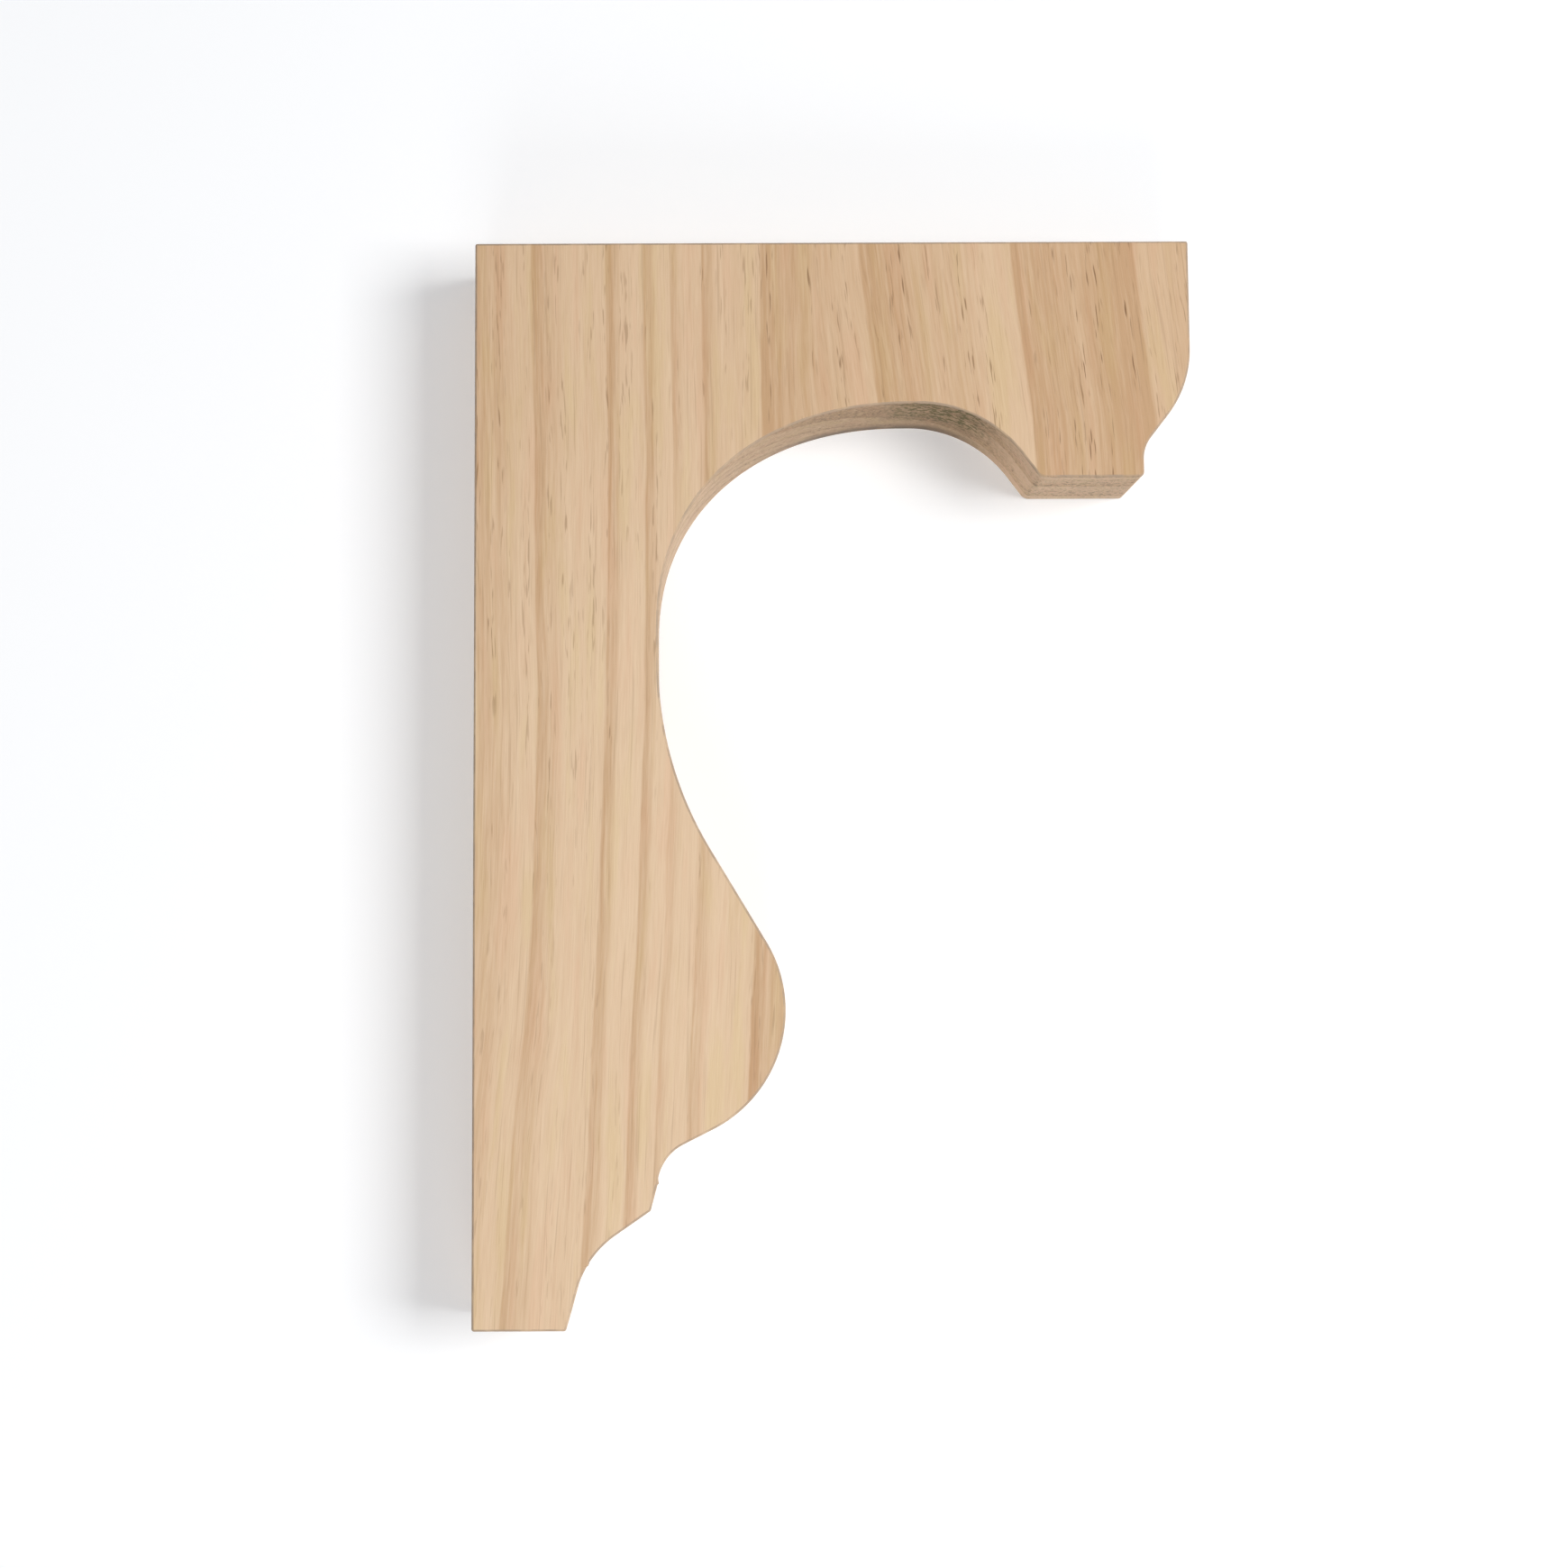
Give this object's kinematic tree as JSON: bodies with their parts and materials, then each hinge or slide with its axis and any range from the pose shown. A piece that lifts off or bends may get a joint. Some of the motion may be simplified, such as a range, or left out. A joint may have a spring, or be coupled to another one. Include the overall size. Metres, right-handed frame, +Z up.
{
  "type": "wooden corbel bracket",
  "caption": "Flat wall corbel sawn from one pine board, with an arched arm, a scrolled nose and a bellied, stepped foot.",
  "frame": {"origin": "centre of the back edge that lies on the wall: mid-height and mid-thickness, in the plane of the wall", "axes": "+Z up along the back edge, +X out from the wall along the shelf edge, Y across the thickness"},
  "size_m": [0.2, 0.035, 0.3],
  "materials": {
    "pine": "planed and sanded, unfinished"
  },
  "bodies": {
    "root": {"bracket": "pine"}
  },
  "joints": []
}
